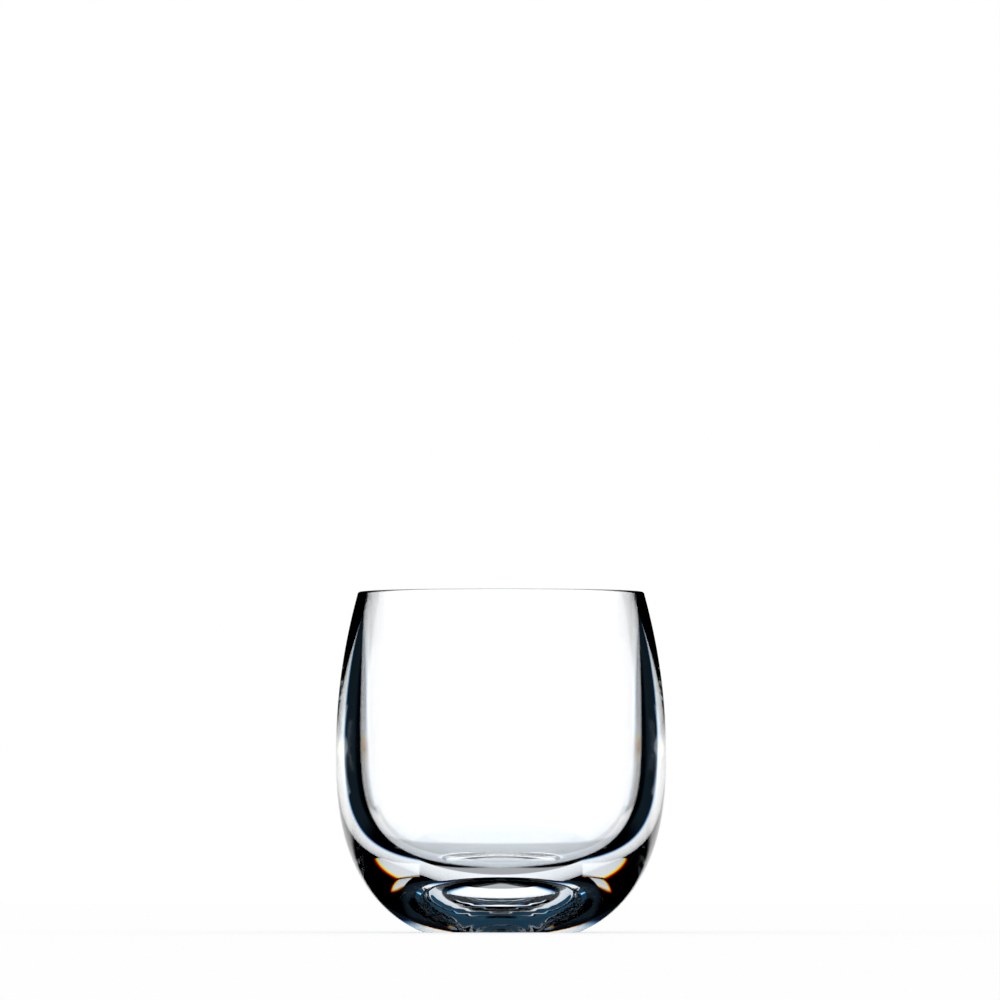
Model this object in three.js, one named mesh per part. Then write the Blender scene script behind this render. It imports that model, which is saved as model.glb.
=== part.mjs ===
// A clear plastic old fashioned glass: one thick-walled moulding, round about the Z axis.
// Millimetres, +Z up. The origin is the centre of the plane that the foot ring rests on.
import * as THREE from "three";
import { mergeVertices } from "three/addons/utils/BufferGeometryUtils.js";

// Outside
const HEIGHT = 90; // foot plane to the top of the lip
const RIM_RADIUS = 38; // outermost point of the rounded lip
const BELLY_RADIUS = 43.7; // widest point of the outside
const BELLY_HEIGHT = 47.6; // level of that widest point
const FOOT_RADIUS = 21.2; // outer edge of the flat foot ring
const HIP_FULLNESS = 2.5; // superellipse exponent from belly to foot: 2 is an ellipse, more is squarer

// Inside
const LIP_WIDTH = 1.5; // wall at the lip, rounded over to a half circle
const BELLY_WALL = 6.4; // wall between the cavity's widest radius and the belly radius
const CAVITY_SHOULDER = 35.7; // depth below the lip at which the cavity is widest
const BASE_THICKNESS = 12.2; // foot plane to the middle of the cavity floor
const BOWL_FULLNESS = 3; // superellipse exponent of the cavity's bottom

// Underside
const FOOT_RING_WIDTH = 1.5; // flat ring that touches the table
const RECESS_STEP = 0.4; // rise of the sloping edge inside that ring
const RECESS_SLOPE = 0.8; // width of that sloping edge
const RECESS_DOME = 3.2; // further rise of the domed recess, up to its middle

// Fineness of the outline and of the turning
const FACETS = 72;
const DOME_STEPS = 6;
const HIP_STEPS = 14;
const WALL_STEPS = 7;
const LIP_STEPS = 6;
const BOWL_STEPS = 14;

const CLEAR_PLASTIC = new THREE.MeshStandardMaterial({
  color: 0xeef2f5,
  roughness: 0.05,
  metalness: 0,
  transparent: true,
  opacity: 0.35,
});

const lipRadius = LIP_WIDTH / 2;
const lipCentre = new THREE.Vector2(RIM_RADIUS - lipRadius, HEIGHT - lipRadius);
const cavityRadius = BELLY_RADIUS - BELLY_WALL;
const shoulderHeight = HEIGHT - CAVITY_SHOULDER;
const recessRadius = FOOT_RADIUS - FOOT_RING_WIDTH;

// Points of one stretch of the outline, without its last point, which the next stretch starts with.
function stretch(steps, pointAt) {
  return Array.from({ length: steps }, (_, i) => pointAt(i / steps));
}

// A point of the superellipse with the given half axes: angle 0 is at the side, a quarter turn is at the bottom.
function superellipse(radius, drop, topHeight, fullness, angle) {
  return new THREE.Vector2(
    radius * Math.cos(angle) ** (2 / fullness),
    topHeight - drop * Math.sin(angle) ** (2 / fullness),
  );
}

// A point of a wall that leaves its widest level upright and bends in as a parabola to the lip.
function bentWall(widest, lipSide, level, share) {
  return new THREE.Vector2(
    widest + (lipSide - widest) * share ** 2,
    level + (lipCentre.y - level) * share,
  );
}

// Underside from the axis to the inner edge of the foot ring: a parabolic dome inside a sloping edge.
function underside() {
  const domeRadius = recessRadius - RECESS_SLOPE;
  const dome = stretch(
    DOME_STEPS,
    (u) => new THREE.Vector2(domeRadius * u, RECESS_STEP + RECESS_DOME * (1 - u ** 2)),
  );
  return [
    ...dome,
    new THREE.Vector2(domeRadius, RECESS_STEP),
    new THREE.Vector2(recessRadius, 0),
  ];
}

// Outside from the edge of the foot ring up to the belly: a superellipse that the foot plane cuts off.
function hip() {
  const footAngle = Math.acos((FOOT_RADIUS / BELLY_RADIUS) ** (HIP_FULLNESS / 2));
  const drop = BELLY_HEIGHT / Math.sin(footAngle) ** (2 / HIP_FULLNESS);
  return stretch(HIP_STEPS, (u) =>
    superellipse(BELLY_RADIUS, drop, BELLY_HEIGHT, HIP_FULLNESS, footAngle * (1 - u)),
  );
}

// Outside from the belly up to the lip.
function outerWall() {
  return stretch(WALL_STEPS, (u) => bentWall(BELLY_RADIUS, RIM_RADIUS, BELLY_HEIGHT, u));
}

// Half circle over the lip, from the outside to the inside.
function lip() {
  return stretch(
    LIP_STEPS,
    (u) =>
      new THREE.Vector2(
        lipCentre.x + lipRadius * Math.cos(Math.PI * u),
        lipCentre.y + lipRadius * Math.sin(Math.PI * u),
      ),
  );
}

// Inside from the lip down to the level where the cavity is widest.
function innerWall() {
  const lipSide = RIM_RADIUS - LIP_WIDTH;
  return stretch(WALL_STEPS, (u) => bentWall(cavityRadius, lipSide, shoulderHeight, 1 - u));
}

// Cavity bottom from its widest level to the middle of the floor, where it meets the axis.
function bowl() {
  const drop = shoulderHeight - BASE_THICKNESS;
  const points = stretch(BOWL_STEPS, (u) =>
    superellipse(cavityRadius, drop, shoulderHeight, BOWL_FULLNESS, (u * Math.PI) / 2),
  );
  return [...points, new THREE.Vector2(0, BASE_THICKNESS)];
}

// Turns an outline about Z. Triangles that shrink to nothing on the axis are left out.
function turned(outline) {
  const lathe = new THREE.LatheGeometry(outline, FACETS).rotateX(Math.PI / 2);
  lathe.deleteAttribute("normal");
  lathe.deleteAttribute("uv");
  const geometry = mergeVertices(lathe, 1e-3);
  const corners = Array.from(geometry.index.array);
  const kept = [];
  for (let i = 0; i < corners.length; i += 3) {
    const triangle = corners.slice(i, i + 3);
    if (new Set(triangle).size === 3) kept.push(...triangle);
  }
  geometry.setIndex(kept);
  geometry.computeVertexNormals();
  return geometry;
}

const outline = [...underside(), ...hip(), ...outerWall(), ...lip(), ...innerWall(), ...bowl()];
const tumbler = new THREE.Mesh(turned(outline), CLEAR_PLASTIC);
tumbler.name = "tumbler";

const glass = new THREE.Group();
glass.add(tumbler);
export default glass;
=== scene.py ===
"""Looks of a clear plastic old fashioned glass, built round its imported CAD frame."""

import math

import bpy
import numpy as np
from bpy.props import FloatProperty, FloatVectorProperty, IntProperty, PointerProperty
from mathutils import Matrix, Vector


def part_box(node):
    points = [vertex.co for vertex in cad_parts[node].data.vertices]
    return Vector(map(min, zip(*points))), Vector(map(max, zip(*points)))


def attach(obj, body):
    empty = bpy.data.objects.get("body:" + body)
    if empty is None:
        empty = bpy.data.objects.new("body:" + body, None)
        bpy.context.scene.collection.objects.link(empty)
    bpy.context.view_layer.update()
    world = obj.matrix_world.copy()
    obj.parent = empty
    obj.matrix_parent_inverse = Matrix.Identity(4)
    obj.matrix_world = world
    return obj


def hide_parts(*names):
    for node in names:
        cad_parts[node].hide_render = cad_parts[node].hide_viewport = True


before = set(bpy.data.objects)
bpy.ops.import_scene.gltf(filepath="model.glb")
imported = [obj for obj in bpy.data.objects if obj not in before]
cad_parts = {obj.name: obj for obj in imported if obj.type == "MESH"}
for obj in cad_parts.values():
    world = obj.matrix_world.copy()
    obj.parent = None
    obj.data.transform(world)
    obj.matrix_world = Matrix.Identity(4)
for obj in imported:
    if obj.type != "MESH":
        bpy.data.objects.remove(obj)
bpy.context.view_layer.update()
TUMBLER_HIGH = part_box("tumbler")[1]

bl_info = {
    "name": "Old fashioned glass",
    "version": (1, 0, 0),
    "blender": (4, 5, 0),
    "location": "View3D > Sidebar > Glass",
    "description": "Builds a clear thick-walled plastic tumbler and a white studio for it",
    "category": "Add Mesh",
}

# Tumbler: points along each stretch of its outline, from the axis under the foot to the cavity floor
OUTLINE_POINTS = {
    "dome": 34,
    "slope": 4,
    "ring": 4,
    "hip": 92,
    "outer": 56,
    "lip": 23,
    "inner": 46,
    "bowl": 96,
}
DENSE_POINTS = 4001  # points of a stretch before it is cut into equal steps
CREASE = math.radians(18.0)  # edges that turn by more than this stay sharp

# Plastic
POLISH_SCALE = 420.0  # dull spots of the polish per metre
POLISH_RANGE = (0.35, 0.75)  # noise values of a perfect and of the dullest polish
RING_LOW = 0.01  # the rings lie over this height, so that the underside has none
RING_TOP = (0.025, 0.02)  # heights between which the rings set in, going down
RING_FULL = 0.8  # share of the ring reach within which they have their full height
BASE_FULL = 0.4  # share of the base reach below which the base has its full tint
CAST_SWING, CAST_LEAST = 0.6, 0.7  # how far the ripples vary the base tint, and its least share

# Floor
FLOOR_SIDES = 96
FLOOR_DROP = 0.0001  # gap under the foot ring, so that the two faces don't fight

# Light pattern: details that follow from how the tumbler bends light. Angles are in radians, and a pair is an
# edge and its half width unless it says otherwise.
CRISP = math.radians(0.6)  # half width of an edge that isn't soft
STEEP = (math.radians(-3.0), math.radians(-8.0))  # heights between which the table narrows for bent light
LEVEL = math.radians(-1.4)  # over this height the colours of the table's sides change over
SIDE_FRINGE, LEVEL_FRINGE = 0.5, 1.75  # share of the table fringe, and what is taken off it over that height
ROUND_NEAR = math.radians(-50.0)  # the floor round about is lit down to this height
FOOT_SHADE = (math.radians(-30.5), math.radians(1.5))  # the table is dimmer below this edge
GLOOM_FROM, GLOOM_TO = (0.4, 0.04), (0.75, 0.05)  # turns that the gloom fills
GLOOM_LOW, GLOOM_TOP = (-0.45, 0.1), (0.02, CRISP)  # heights that the gloom fills
GLOOM_BLUE = 0.5  # how much stronger the gloom is in blue than in green, and weaker in red
DEEP_FEWEST = 8  # reflections after which the deep light is met
DEEP_LOW = (0.6, 0.1)  # the deep light starts at this height
DEEP_FALL, DEEP_FULL = -0.6, 1.3  # its share is the full value plus the fall times the height
DEEP_BLUE = 0.7  # how much stronger the deep light is in blue than in green, and weaker in red
PANEL_DROP = 0.3  # share of a panel's fringe that its lower edge takes
SKY_BLUR = 0.2  # half width of the lower edge of the mirrored sky
STRIP_LOW, STRIP_TOP = (-0.18, -0.12), (0.03, 0.01)  # the mirrored table goes from dark to lit between these
STRIP_SIDE = (0.8, 0.6)  # the same at its sides

# Side panels that light winding through the base meets: the fewest reflections, the turn from and to, how far
# the outer end leans out with height, the lowest and highest level, and the fringe. Angles are in degrees.
SIDE_PANELS = (
    (5, 52.0, 70.0, 1.2, -4.0, 16.0, 5.0),
    (3, 44.0, 53.0, 0.0, 1.5, 10.0, 2.0),
    (5, -1.0, 20.0, 0.0, 40.0, 62.0, -4.0),
    (7, -1.0, 60.0, 0.0, 52.0, 70.0, -4.0),
)

BOUNCES = 32  # enough for light that winds through the base


def length(name, description, default):
    """A size in metres."""
    return FloatProperty(
        name=name,
        description=description,
        default=default,
        min=0.0,
        precision=5,
        subtype="DISTANCE",
        unit="LENGTH",
    )


def angle(name, description, degrees):
    """An angle, given in degrees."""
    return FloatProperty(
        name=name, description=description, default=math.radians(degrees), subtype="ANGLE", unit="ROTATION"
    )


def share(name, description, default):
    """A plain number from 0 to 1."""
    return FloatProperty(
        name=name, description=description, default=default, min=0.0, max=1.0, subtype="FACTOR"
    )


def colour(name, description, default):
    """A colour of three channels."""
    return FloatVectorProperty(
        name=name, description=description, default=default, min=0.0, max=1.0, size=3, subtype="COLOR"
    )


class TumblerShape(bpy.types.PropertyGroup):
    """Sizes of the tumbler's outline"""

    height: length("Height", "Foot plane to the top of the lip", TUMBLER_HIGH[2])
    rim_radius: length("Rim radius", "Outermost point of the rounded lip", 0.038)
    belly_radius: length("Belly radius", "Widest point of the outside", TUMBLER_HIGH[0])
    belly_height: length("Belly height", "Level of the widest point", 0.0476)
    foot_radius: length("Foot radius", "Outer edge of the flat foot ring", 0.0212)
    hip_fullness: FloatProperty(
        name="Hip fullness", description="Superellipse exponent from belly to foot", default=2.5, min=1.0
    )
    lip_width: length("Lip width", "Wall at the lip, rounded to a half circle", 0.0015)
    belly_wall: length("Belly wall", "Wall between the cavity's widest radius and the belly radius", 0.0064)
    cavity_shoulder: length("Cavity shoulder", "Depth below the lip at which the cavity is widest", 0.0357)
    base_thickness: length("Base thickness", "Foot plane to the middle of the cavity floor", 0.0122)
    bowl_fullness: FloatProperty(
        name="Bowl fullness", description="Superellipse exponent of the cavity's bottom", default=3.0, min=1.0
    )
    foot_ring_width: length("Foot ring width", "Flat ring that touches the table", 0.0015)
    recess_step: length("Recess step", "Rise of the sloping edge inside the foot ring", 0.0004)
    recess_slope: length("Recess slope", "Width of that sloping edge", 0.0008)
    recess_dome: length("Recess dome", "Further rise of the domed recess up to its middle", 0.0032)
    segments: IntProperty(name="Segments", description="Steps round the axis", default=256, min=24)


class ClearPlastic(bpy.types.PropertyGroup):
    """Finish of the clear plastic"""

    tint: colour("Tint", "Colour that light keeps through the thin wall", (0.99, 0.995, 1.0))
    base_tint: colour("Base tint", "Colour that light keeps through the thick base", (0.9, 0.95, 1.0))
    base_reach: length("Base reach", "Height up to which the base is tinted", 0.03)
    refraction: FloatProperty(
        name="Refractive index", description="How strongly the plastic bends light", default=1.585, min=1.0
    )
    haze: share("Haze", "Roughness of the dullest spots of the polished surface", 0.012)
    ripple: length("Ripple", "Height of the slow waves that moulding leaves in the surface", 0.000004)
    ripple_width: length("Ripple width", "Width of one of those waves", 0.009)
    ring: length("Ring", "Height of the faint turning rings of the mould on the cavity floor", 0.000003)
    ring_width: length("Ring width", "Step from one of those rings to the next", 0.0022)
    ring_reach: length("Ring reach", "Radius of the outermost ring", 0.018)


class Studio(bpy.types.PropertyGroup):
    """Floor, light and camera"""

    floor_colour: colour("Floor colour", "Pale paper that the glass stands on", (0.99, 0.99, 0.99))
    floor_radius: length("Floor radius", "Reach of the floor from the glass", 2.5)
    table_width: angle("Table width", "Half width of the lit table that straight light meets", 24.0)
    bent_width: angle("Bent width", "Half width of the table that reflected light meets", 21.5)
    bent_inner: angle("Bent inner width", "The same for steep light reflected three or more times", 5.0)
    table_edge: angle("Table edge", "Half width of the soft sides of the table", 3.0)
    table_far: angle("Table far edge", "Height at which straight light meets the far edge of the table", 3.0)
    bent_far: angle("Bent far edge", "The same for light reflected three or more times", 0.4)
    once_far: angle("Once far edge", "The same for light reflected once or twice", -1.5)
    table_near: angle("Table near edge", "Height at which reflected light meets its near edge", -48.0)
    bent_near: angle("Bent near edge", "The same for light reflected three or more times", -17.0)
    shade_near: angle("Shade near edge", "Height down to which a shaded table lies before that edge", -63.0)
    shade_curve: FloatProperty(
        name="Shade curve", description="How fast that shaded table narrows to the sides", default=3.5
    )
    near_level: share("Near level", "Brightness of that shaded table", 0.4)
    foot_level: share("Foot level", "Brightness of the table close to the foot", 0.68)
    table_level: FloatProperty(
        name="Table level", description="Brightness of the lit table", default=1.27, min=0.0
    )
    table_fringe: angle("Table fringe", "How much wider the table is in blue than in red", 1.2)
    far_fringe: angle("Far fringe", "How far apart the far edge lies in red and in blue", 0.8)
    gloom: share("Gloom", "Faint blue light just past the sides of the table", 0.014)
    deep_level: share("Deep level", "Blue light that rays thrown up by many reflections meet", 0.07)
    side_level: share("Side level", "Brightness of the side panels", 0.85)
    round_from: angle("Round from", "Turn past which reflected light meets the lit floor", 65.0)
    round_far: angle("Round far edge", "Height at which the far edge of that floor is seen", -14.0)
    edge_from: angle("Edge from", "Turn past which light reflected once meets a lit room", 58.0)
    edge_low: angle("Edge low", "Height from which that room is lit", -20.0)
    edge_top: angle("Edge top", "Height up to which that room is lit", 3.0)
    clear_from: angle("Clear from", "Turn past which straight light meets the lit floor", 40.0)
    clear_far: angle("Clear far edge", "Height at which the far edge of that floor is seen", -6.0)
    floor_far: angle("Floor far edge", "Height below which straight light meets lit floor all round", -16.0)
    gap_level: share("Gap level", "Brightness that straight light meets between table and floor", 0.3)
    roof_low: angle("Roof low", "Height at which light that crossed the cavity meets the ceiling", 40.0)
    roof_level: share("Roof level", "Brightness of that ceiling", 0.8)
    sky_low: angle("Sky low", "Height at which the soft light mirrored by the surface starts", 30.0)
    sky_level: share("Sky level", "Brightness of that light", 0.5)
    shade_level: share("Shade level", "Light that reaches the floor through the glass", 0.75)
    camera_distance: length("Camera distance", "From the glass's axis to the camera", 3.0)
    camera_height: length("Camera height", "Height of the camera over the floor", 0.0167)
    camera_side: length("Camera side", "How far the camera stands to the left of the glass", 0.00026)
    frame_width: length("Frame width", "Width of the view at the glass", 0.26471)
    aim_height: length("Aim height", "Level that the middle of the view shows at the glass", 0.11435)


def even(points, count):
    """Points of a dense outline moved to equal steps of arc length, both ends kept."""
    steps = np.hypot(*np.diff(points, axis=0).T)
    travelled = np.concatenate([[0.0], np.cumsum(steps)])
    wanted = np.linspace(0.0, travelled[-1], count)
    return np.stack([np.interp(wanted, travelled, points[:, k]) for k in (0, 1)], axis=1)


def superellipse(radius, drop, top, fullness, turn):
    """Quarter superellipse: radius times cos(turn)^(2/n) out, and drop times sin(turn)^(2/n) down."""
    out = radius * np.cos(turn).clip(0.0, 1.0) ** (2.0 / fullness)
    return np.stack([out, top - drop * np.sin(turn) ** (2.0 / fullness)], axis=1)


def tumbler_outline(shape):
    """Outline in radius and height, from the axis under the foot to the middle of the cavity floor.

    Underside: a parabolic dome, a sloping edge and a flat ring. Outside: a superellipse from foot to belly,
    then a wall whose radius falls with the square of the height above the belly. Lip: a half circle. Inside:
    the same kind of wall down to the widest level of the cavity, then a superellipse down to its floor.
    """
    dense = np.linspace(0.0, 1.0, DENSE_POINTS)
    recess = shape.foot_radius - shape.foot_ring_width
    dome_edge = recess - shape.recess_slope
    dome = np.stack([dome_edge * dense, shape.recess_step + shape.recess_dome * (1.0 - dense**2)], axis=1)
    slope = np.array([[dome_edge, shape.recess_step], [recess, 0.0]])
    ring = np.array([[recess, 0.0], [shape.foot_radius, 0.0]])

    foot_turn = math.acos((shape.foot_radius / shape.belly_radius) ** (shape.hip_fullness / 2.0))
    drop = shape.belly_height / math.sin(foot_turn) ** (2.0 / shape.hip_fullness)
    hip = superellipse(
        shape.belly_radius, drop, shape.belly_height, shape.hip_fullness, foot_turn * (1.0 - dense)
    )

    lip_radius = shape.lip_width / 2.0
    lip_level = shape.height - lip_radius
    outer = np.stack(
        [
            shape.belly_radius + (shape.rim_radius - shape.belly_radius) * dense**2,
            shape.belly_height + (lip_level - shape.belly_height) * dense,
        ],
        axis=1,
    )
    lip = np.stack(
        [
            shape.rim_radius - lip_radius + lip_radius * np.cos(math.pi * dense),
            lip_level + lip_radius * np.sin(math.pi * dense),
        ],
        axis=1,
    )

    cavity = shape.belly_radius - shape.belly_wall
    shoulder = shape.height - shape.cavity_shoulder
    up = 1.0 - dense
    inner = np.stack(
        [
            cavity + (shape.rim_radius - shape.lip_width - cavity) * up**2,
            shoulder + (lip_level - shoulder) * up,
        ],
        axis=1,
    )
    bowl = superellipse(
        cavity, shoulder - shape.base_thickness, shoulder, shape.bowl_fullness, math.pi / 2.0 * dense
    )

    stretches = (dome, slope, ring, hip, outer, lip, inner, bowl)
    parts = [even(points, count)[:-1] for points, count in zip(stretches, OUTLINE_POINTS.values())]
    return np.concatenate([*parts, [[0.0, shape.base_thickness]]])


def turned(name, outline, segments):
    """Mesh of an outline turned about Z: each inner point becomes a ring, and the two ends become poles.

    A point at radius r and height z goes to (r cos t, r sin t, z) for equal steps of the turn t.
    """
    turn = np.arange(segments) * (2.0 * math.pi / segments)
    radius, height = outline[1:-1, 0], outline[1:-1, 1]
    rings = len(radius)
    grid = np.stack(
        [
            np.outer(radius, np.cos(turn)),
            np.outer(radius, np.sin(turn)),
            np.repeat(height[:, None], segments, axis=1),
        ],
        axis=2,
    ).reshape(-1, 3)
    poles = np.array([[0.0, 0.0, outline[0, 1]], [0.0, 0.0, outline[-1, 1]]])
    points = np.concatenate([grid, poles])

    here = np.arange(segments)
    after = (here + 1) % segments
    start = np.arange(rings - 1)[:, None] * segments
    quads = np.stack(
        [start + here, start + after, start + segments + after, start + segments + here], axis=2
    ).reshape(-1, 4)
    first, last = len(grid), len(grid) + 1
    end = (rings - 1) * segments
    first_fan = np.stack([np.full(segments, first), after, here], axis=1)
    last_fan = np.stack([end + here, end + after, np.full(segments, last)], axis=1)

    mesh = bpy.data.meshes.new(name)
    mesh.from_pydata(points.tolist(), [], quads.tolist() + first_fan.tolist() + last_fan.tolist())
    mesh.polygons.foreach_set("use_smooth", np.ones(len(mesh.polygons), dtype=bool))
    mesh.set_sharp_from_angle(angle=CREASE)
    mesh.update()
    return mesh


def add(tree, kind, inputs=None, **settings):
    """A node of the given kind. An input takes a plain value or another node's output."""
    made = tree.nodes.new(kind)
    for key, value in settings.items():
        setattr(made, key, value)
    for key, value in (inputs or {}).items():
        if isinstance(value, bpy.types.NodeSocket):
            tree.links.new(value, made.inputs[key])
        else:
            made.inputs[key].default_value = value
    return made


def work(tree, operation, *values):
    """Output of one Math node."""
    return add(tree, "ShaderNodeMath", dict(enumerate(values)), operation=operation).outputs[0]


def product(tree, first, *others):
    """All the values multiplied."""
    for other in others:
        first = work(tree, "MULTIPLY", first, other)
    return first


def most(tree, first, *others):
    """The greatest of the values."""
    for other in others:
        first = work(tree, "MAXIMUM", first, other)
    return first


def reached(tree, count, fewest):
    """1 where a whole number has reached the fewest given, and 0 before."""
    return work(tree, "GREATER_THAN", count, fewest - 0.5)


def opposite(tree, value):
    """1 less the value."""
    return work(tree, "SUBTRACT", 1.0, value)


def fade(tree, value, edge_from, edge_to):
    """0 before edge_from and 1 past edge_to, with a smooth step between them."""
    low, high = min(edge_from, edge_to), max(edge_from, edge_to)
    ends = (0.0, 1.0) if edge_from <= edge_to else (1.0, 0.0)
    made = add(
        tree,
        "ShaderNodeMapRange",
        {"Value": value, "From Min": low, "From Max": high, "To Min": ends[0], "To Max": ends[1]},
        interpolation_type="SMOOTHSTEP",
    )
    return made.outputs["Result"]


def clear_plastic(finish):
    """Clear moulded plastic: slow ripples and faint turning rings in the normal, a polish that is a little
    uneven, and a faint blue cast in the thick base."""
    material = bpy.data.materials.new("clear_plastic")
    material.use_nodes = True
    tree = material.node_tree
    tree.nodes.clear()
    place = add(tree, "ShaderNodeTexCoord").outputs["Object"]
    ripple = add(
        tree, "ShaderNodeTexNoise", {"Vector": place, "Scale": 1.0 / finish.ripple_width, "Detail": 1.0}
    ).outputs["Fac"]
    polish = add(
        tree, "ShaderNodeTexNoise", {"Vector": place, "Scale": POLISH_SCALE, "Detail": 3.0}
    ).outputs["Fac"]
    best, dullest = POLISH_RANGE
    rough = add(
        tree,
        "ShaderNodeMapRange",
        {"Value": polish, "From Min": best, "From Max": dullest, "To Min": 0.0, "To Max": finish.haze},
    ).outputs["Result"]
    x, y, z = add(tree, "ShaderNodeSeparateXYZ", {0: place}).outputs
    out = work(tree, "SQRT", work(tree, "ADD", product(tree, x, x), product(tree, y, y)))
    wave = work(tree, "SINE", product(tree, out, 2.0 * math.pi / finish.ring_width))
    on_floor = product(
        tree,
        work(tree, "GREATER_THAN", z, RING_LOW),
        fade(tree, z, *RING_TOP),
        fade(tree, out, finish.ring_reach, RING_FULL * finish.ring_reach),
    )
    rings = product(tree, wave, on_floor, finish.ring)
    height = work(tree, "ADD", product(tree, ripple, finish.ripple), rings)
    bump = add(tree, "ShaderNodeBump", {"Height": height, "Distance": 1.0, "Strength": 1.0})
    uneven = work(tree, "MULTIPLY_ADD", ripple, CAST_SWING, CAST_LEAST)
    thick = product(tree, fade(tree, z, finish.base_reach, BASE_FULL * finish.base_reach), uneven)
    body = add(
        tree,
        "ShaderNodeMix",
        {"Factor": thick, 6: (*finish.tint, 1.0), 7: (*finish.base_tint, 1.0)},
        data_type="RGBA",
    ).outputs[2]
    shader = add(
        tree,
        "ShaderNodeBsdfPrincipled",
        {
            "Base Color": body,
            "Transmission Weight": 1.0,
            "IOR": finish.refraction,
            "Roughness": rough,
            "Normal": bump.outputs["Normal"],
        },
    )
    add(tree, "ShaderNodeOutputMaterial", {"Surface": shader.outputs["BSDF"]})
    return material


def put(name, mesh, material):
    """Object of a mesh in the scene, at the origin."""
    mesh.materials.append(material)
    made = bpy.data.objects.new(name, mesh)
    bpy.context.scene.collection.objects.link(made)
    return made


def pale_floor(studio):
    """Flat round sheet of matt paper just under the foot: one face whose corners lie on a circle about Z."""
    turn = np.arange(FLOOR_SIDES) * (2.0 * math.pi / FLOOR_SIDES)
    x, y = studio.floor_radius * np.cos(turn), studio.floor_radius * np.sin(turn)
    corners = np.stack([x, y, np.full(FLOOR_SIDES, -FLOOR_DROP)], axis=1)
    mesh = bpy.data.meshes.new("floor")
    mesh.from_pydata(corners.tolist(), [], [list(range(FLOOR_SIDES))])
    material = bpy.data.materials.new("matt_paper")
    material.use_nodes = True
    tree = material.node_tree
    tree.nodes.clear()
    shader = add(tree, "ShaderNodeBsdfDiffuse", {"Color": (*studio.floor_colour, 1.0)})
    add(tree, "ShaderNodeOutputMaterial", {"Surface": shader.outputs["BSDF"]})
    floor = put("floor", mesh, material)
    floor.visible_transmission = False
    floor.visible_glossy = False
    return floor


def under(tree, value, edge, blur=CRISP):
    """1 below an edge and 0 above it."""
    return fade(tree, value, edge + blur, edge - blur)


def over(tree, value, edge, blur=CRISP):
    """1 above an edge and 0 below it."""
    return fade(tree, value, edge - blur, edge + blur)


def side_panel(tree, aside, above, reflections, lead, layout):
    """One of the side panels. Its outer end leans out with height, and it is wider in red than in blue by the
    fringe. It is met after the fewest reflections given or after one more."""
    fewest, *turns, lean, low, top, fringe = layout
    turn_from, turn_to, low, top, fringe = np.radians([*turns, low, top, fringe]).tolist()
    fringe *= 0.5 * lead
    leaning = work(tree, "SUBTRACT", aside, product(tree, work(tree, "SUBTRACT", above, low), lean))
    return product(
        tree,
        reached(tree, reflections, fewest),
        opposite(tree, reached(tree, reflections, fewest + 2)),
        over(tree, aside, turn_from),
        under(tree, leaning, turn_to + fringe),
        over(tree, above, low - PANEL_DROP * fringe),
        under(tree, above, top),
    )


def bent_light(tree, studio, aside, above, path, lead):
    """Brightness that light reflected inside the plastic meets in one colour channel.

    Ahead lies a lit table with a shaded part before its near edge. It is narrower and shorter for light
    reflected three or more times. Far round to the sides lies a lit floor, and for light reflected once a lit
    room. The rest is dark, apart from a faint gloom beside the table, the side panels, a blue light high up
    after many reflections, and the ceiling for light that crossed the cavity.
    """
    reflections = path["Glossy Depth"]
    many = reached(tree, reflections, 3)
    few = opposite(tree, many)
    narrower = product(tree, many, fade(tree, above, *STEEP), studio.bent_width - studio.bent_inner)
    change = product(tree, over(tree, above, LEVEL), LEVEL_FRINGE)
    coloured = product(tree, work(tree, "SUBTRACT", SIDE_FRINGE, change), lead * studio.table_fringe)
    turn = work(tree, "ADD", work(tree, "ADD", aside, narrower), coloured)
    raised = work(tree, "ADD", above, product(tree, many, lead * studio.far_fringe))
    raised = work(tree, "ADD", raised, product(tree, few, studio.bent_far - studio.once_far))
    shorter = product(tree, many, studio.bent_near - studio.table_near)
    near = over(tree, work(tree, "SUBTRACT", above, shorter), studio.table_near)
    sunk = work(tree, "SUBTRACT", above, product(tree, aside, aside, studio.shade_curve))
    shaded = product(tree, over(tree, sunk, studio.shade_near, studio.table_edge), few, studio.near_level)
    table = product(
        tree,
        under(tree, turn, studio.bent_width, studio.table_edge),
        under(tree, raised, studio.bent_far + 0.5 * lead * studio.far_fringe),
        most(tree, near, shaded),
    )
    floor = product(
        tree,
        few,
        over(tree, aside, studio.round_from),
        under(tree, above, studio.round_far),
        over(tree, above, ROUND_NEAR),
    )
    room = product(
        tree,
        opposite(tree, reached(tree, reflections, 2)),
        over(tree, aside, studio.edge_from, studio.table_edge),
        over(tree, above, studio.edge_low),
        under(tree, above, studio.edge_top),
    )
    gloom = product(
        tree,
        over(tree, aside, *GLOOM_FROM),
        under(tree, aside, *GLOOM_TO),
        over(tree, above, *GLOOM_LOW),
        under(tree, above, *GLOOM_TOP),
        studio.gloom * (1.0 - GLOOM_BLUE * lead),
    )
    deep = product(
        tree,
        reached(tree, reflections, DEEP_FEWEST),
        over(tree, above, *DEEP_LOW),
        work(tree, "MULTIPLY_ADD", above, DEEP_FALL, DEEP_FULL),
        studio.deep_level * (1.0 - DEEP_BLUE * lead),
    )
    crossed = reached(tree, path["Transmission Depth"], 3)
    ceiling = product(tree, crossed, over(tree, above, studio.roof_low), studio.roof_level)
    light = product(tree, most(tree, table, floor, room), studio.table_level)
    for layout in SIDE_PANELS:
        panel = side_panel(tree, aside, above, reflections, lead, layout)
        light = work(tree, "ADD", light, product(tree, panel, studio.side_level))
    for extra in (gloom, deep, ceiling):
        light = work(tree, "ADD", light, extra)
    return light


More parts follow.
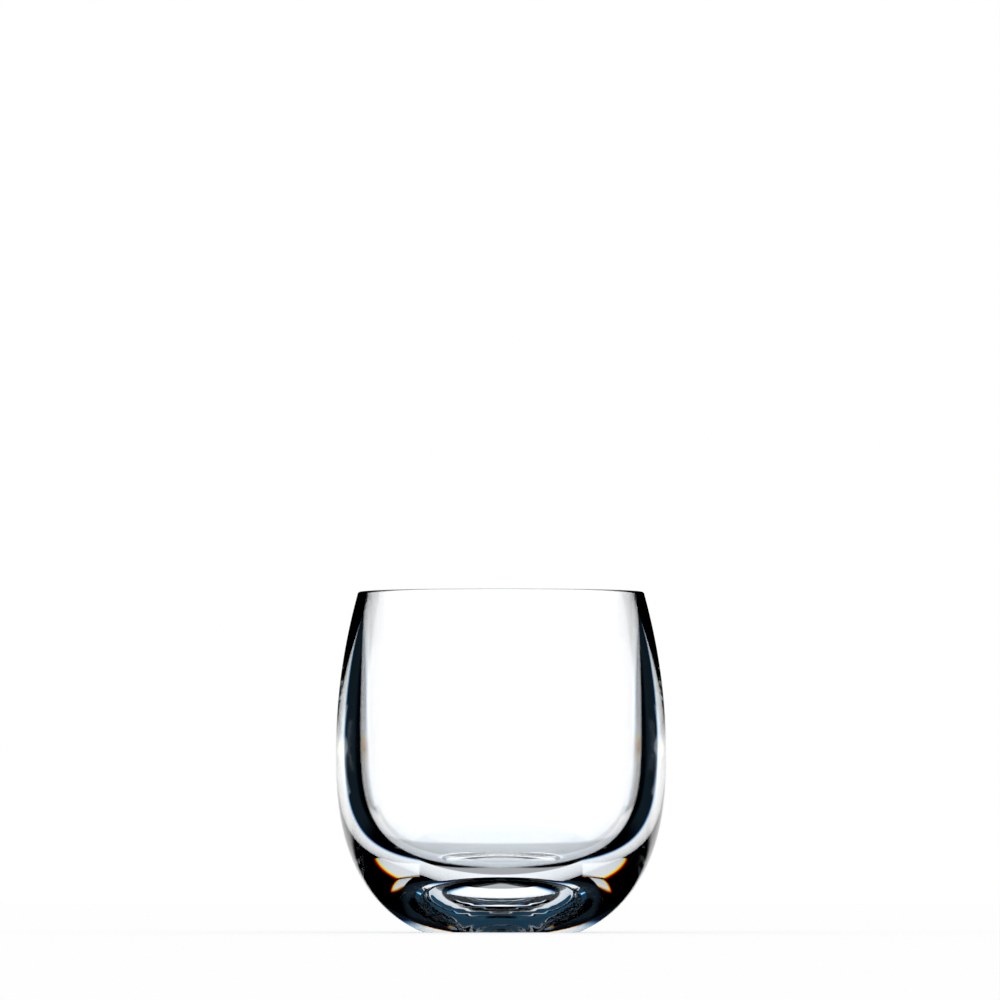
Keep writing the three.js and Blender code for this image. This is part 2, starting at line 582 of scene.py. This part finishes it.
def straight_light(tree, studio, aside, above, lead):
    """Brightness that light which isn't reflected inside the plastic meets in one colour channel: a lit table
    ahead that is dimmer close to the foot, the lit floor on the other sides, and a grey gap between them."""
    width = studio.table_width - 0.5 * lead * studio.table_fringe
    level = under(tree, above, studio.table_far)
    ahead = product(tree, under(tree, aside, width, studio.table_edge), level)
    gap = product(tree, level, studio.gap_level)
    beyond = product(
        tree,
        over(tree, aside, studio.clear_from, studio.table_edge),
        under(tree, above, studio.clear_far),
    )
    below = under(tree, above, studio.floor_far, studio.table_edge)
    dimmer = product(tree, under(tree, above, *FOOT_SHADE), 1.0 - studio.foot_level)
    lit = most(tree, ahead, gap, beyond, below)
    return product(tree, lit, opposite(tree, dimmer), studio.table_level)


def lit_room(tree, studio, aside, above, path, lead):
    """Brightness that a ray from the glass meets in one colour channel: lead is 1 for red, 0 for green and -1
    for blue, and shifts the edges that show coloured fringes."""
    straight = straight_light(tree, studio, aside, above, lead)
    bent = bent_light(tree, studio, aside, above, path, lead)
    inside = work(tree, "MINIMUM", path["Glossy Depth"], 1.0)
    mixed = add(tree, "ShaderNodeMix", {"Factor": inside, "A": straight, "B": bent}, data_type="FLOAT")
    return mixed.outputs[0]


def light_studio(studio):
    """White room. Rays that leave the glass meet a lit table between dark sides, so that its edges show.

    A ray's direction is given by its turn aside from straight ahead and its height above the level.
    """
    world = bpy.data.worlds.new("studio")
    bpy.context.scene.world = world
    world.use_nodes = True
    world.cycles.sampling_method = "NONE"
    tree = world.node_tree
    tree.nodes.clear()
    way = add(tree, "ShaderNodeTexCoord").outputs["Generated"]
    x, y, z = add(tree, "ShaderNodeSeparateXYZ", {0: way}).outputs
    aside = work(tree, "ARCTAN2", work(tree, "ABSOLUTE", x), y)
    above = work(tree, "ARCSINE", z)
    path = add(tree, "ShaderNodeLightPath").outputs
    channels = [lit_room(tree, studio, aside, above, path, lead) for lead in (1.0, 0.0, -1.0)]
    seen = add(tree, "ShaderNodeCombineColor", dict(enumerate(channels))).outputs["Color"]

    passed = path["Is Transmission Ray"]
    mirrored = product(tree, path["Is Glossy Ray"], opposite(tree, passed))
    on_floor = work(tree, "MINIMUM", path["Diffuse Depth"], 1.0)
    off_floor = opposite(tree, on_floor)
    white = opposite(tree, product(tree, passed, on_floor, 1.0 - studio.shade_level))
    sky = product(tree, over(tree, above, studio.sky_low, SKY_BLUR), studio.sky_level)
    strip = product(
        tree, fade(tree, above, *STRIP_LOW), fade(tree, above, *STRIP_TOP), fade(tree, aside, *STRIP_SIDE)
    )
    met = white
    for rays, shown in ((mirrored, work(tree, "ADD", sky, strip)), (passed, seen)):
        met = add(
            tree,
            "ShaderNodeMix",
            {"Factor": product(tree, rays, off_floor), 6: met, 7: shown},
            data_type="RGBA",
        ).outputs[2]
    background = add(tree, "ShaderNodeBackground", {"Color": met, "Strength": 1.0})
    add(tree, "ShaderNodeOutputWorld", {"Surface": background.outputs["Background"]})


def place_camera(studio):
    """Camera low in front of the glass, pitched up so that the middle of its view meets the aim height."""
    lens = bpy.data.cameras.new("camera")
    lens.sensor_width = 36.0
    lens.lens = lens.sensor_width * studio.camera_distance / studio.frame_width
    lens.clip_end = 20.0
    camera = bpy.data.objects.new("camera", lens)
    bpy.context.scene.collection.objects.link(camera)
    camera.location = (-studio.camera_side, -studio.camera_distance, studio.camera_height)
    pitch = math.atan2(studio.aim_height - studio.camera_height, studio.camera_distance)
    camera.rotation_euler = (math.pi / 2.0 + pitch, 0.0, 0.0)
    bpy.context.scene.camera = camera


class OBJECT_OT_tumbler(bpy.types.Operator):
    """Builds the tumbler, a single thick-walled moulding"""

    bl_idname = "object.old_fashioned_tumbler"
    bl_label = "Tumbler"

    def execute(self, context):
        shape = context.scene.tumbler_shape
        mesh = turned("clear_tumbler", tumbler_outline(shape), shape.segments)
        tumbler = put("clear_tumbler", mesh, clear_plastic(context.scene.clear_plastic))
        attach(tumbler, "root")
        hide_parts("tumbler")
        return {"FINISHED"}


class OBJECT_OT_glass_stage(bpy.types.Operator):
    """Sets up the floor, the light and the camera"""

    bl_idname = "object.old_fashioned_stage"
    bl_label = "Stage"

    def execute(self, context):
        studio = context.scene.glass_studio
        pale_floor(studio)
        light_studio(studio)
        place_camera(studio)
        context.scene.view_settings.view_transform = "Standard"
        rays = context.scene.cycles
        rays.max_bounces = BOUNCES
        rays.transmission_bounces = BOUNCES
        rays.glossy_bounces = BOUNCES
        rays.blur_glossy = 0.0
        return {"FINISHED"}


class VIEW3D_PT_old_fashioned_glass(bpy.types.Panel):
    """Lists the pieces of the glass and its stage"""

    bl_label = "Old fashioned glass"
    bl_space_type = "VIEW_3D"
    bl_region_type = "UI"
    bl_category = "Glass"

    def draw(self, context):
        column = self.layout.column()
        column.operator(OBJECT_OT_tumbler.bl_idname)
        column.operator(OBJECT_OT_glass_stage.bl_idname)


CLASSES = (
    TumblerShape,
    ClearPlastic,
    Studio,
    OBJECT_OT_tumbler,
    OBJECT_OT_glass_stage,
    VIEW3D_PT_old_fashioned_glass,
)


def register():
    for cls in CLASSES:
        bpy.utils.register_class(cls)
    bpy.types.Scene.tumbler_shape = PointerProperty(type=TumblerShape)
    bpy.types.Scene.clear_plastic = PointerProperty(type=ClearPlastic)
    bpy.types.Scene.glass_studio = PointerProperty(type=Studio)


def unregister():
    del bpy.types.Scene.glass_studio
    del bpy.types.Scene.clear_plastic
    del bpy.types.Scene.tumbler_shape
    for cls in reversed(CLASSES):
        bpy.utils.unregister_class(cls)


def main():
    register()
    bpy.ops.object.old_fashioned_tumbler()
    bpy.ops.object.old_fashioned_stage()


if __name__ == "__main__":
    main()
